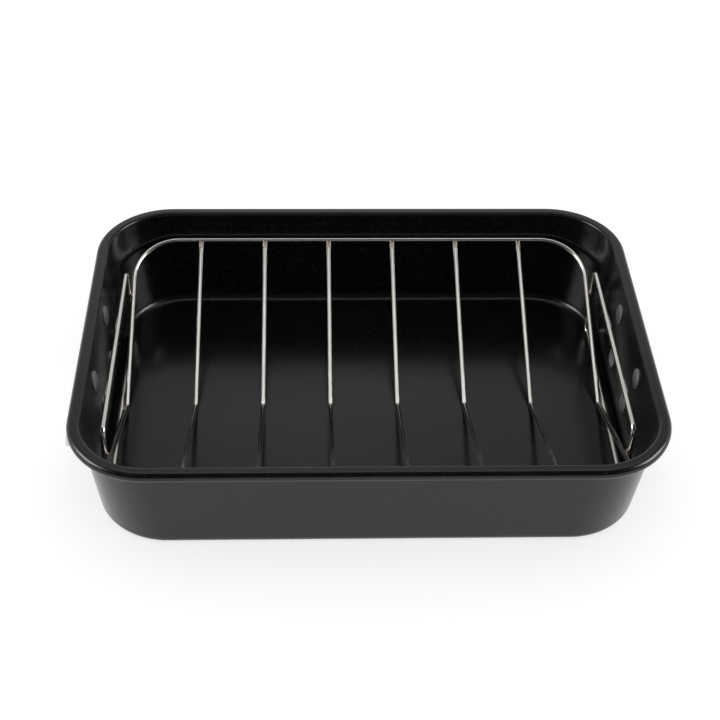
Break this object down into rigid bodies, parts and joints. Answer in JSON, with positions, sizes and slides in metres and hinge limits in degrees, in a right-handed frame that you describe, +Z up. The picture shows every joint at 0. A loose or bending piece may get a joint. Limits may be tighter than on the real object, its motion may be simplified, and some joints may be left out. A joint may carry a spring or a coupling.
{
  "type": "roasting pan with rack",
  "caption": "Deep rectangular roasting pan with a rolled rim, swinging wire handles on riveted brackets and a lift-out V-shaped wire rack.",
  "frame": {"origin": "middle of the underside of the pan's base", "axes": "+X along the pan's length, +Y across it towards the back, +Z up"},
  "size_m": [0.3992, 0.282, 0.075],
  "materials": {
    "pan_coating": "satin dark non-stick coating on pressed steel",
    "rim_wire_steel": "drawn wire, hidden in the rolled rim",
    "bracket_steel": "brushed",
    "handle_steel": "polished wire",
    "rivet_metal": "satin",
    "rack_plating": "bright plated wire"
  },
  "bodies": {
    "pan": {"pan_shell": "pan_coating", "rim_wire": "rim_wire_steel", "left_bracket": "bracket_steel", "right_bracket": "bracket_steel", "left_rivet_upper_front": "rivet_metal", "left_rivet_upper_back": "rivet_metal", "left_rivet_lower_front": "rivet_metal", "left_rivet_lower_back": "rivet_metal", "right_rivet_upper_front": "rivet_metal", "right_rivet_upper_back": "rivet_metal", "right_rivet_lower_front": "rivet_metal", "right_rivet_lower_back": "rivet_metal"},
    "left_handle": {"left_handle": "handle_steel"},
    "right_handle": {"right_handle": "handle_steel"},
    "rack": {"rack_frame": "rack_plating", "rack_bar_1": "rack_plating", "rack_bar_2": "rack_plating", "rack_bar_3": "rack_plating", "rack_bar_4": "rack_plating", "rack_bar_5": "rack_plating", "rack_bar_6": "rack_plating", "left_rack_loop": "rack_plating", "right_rack_loop": "rack_plating"}
  },
  "joints": [
    {"name": "left_handle_swing", "type": "hinge", "parent": "pan", "child": "left_handle", "pos_m": [-0.18801, 0, 0.05601], "axis": [0, 1, 0], "range_deg": [0, 145]},
    {"name": "right_handle_swing", "type": "hinge", "parent": "pan", "child": "right_handle", "pos_m": [0.18801, 0, 0.05601], "axis": [0, -1, 0], "range_deg": [0, 145]},
    {"name": "rack_lift", "type": "slide", "parent": "pan", "child": "rack", "axis": [0, 0, 1], "range_m": [0, 0.09]}
  ]
}
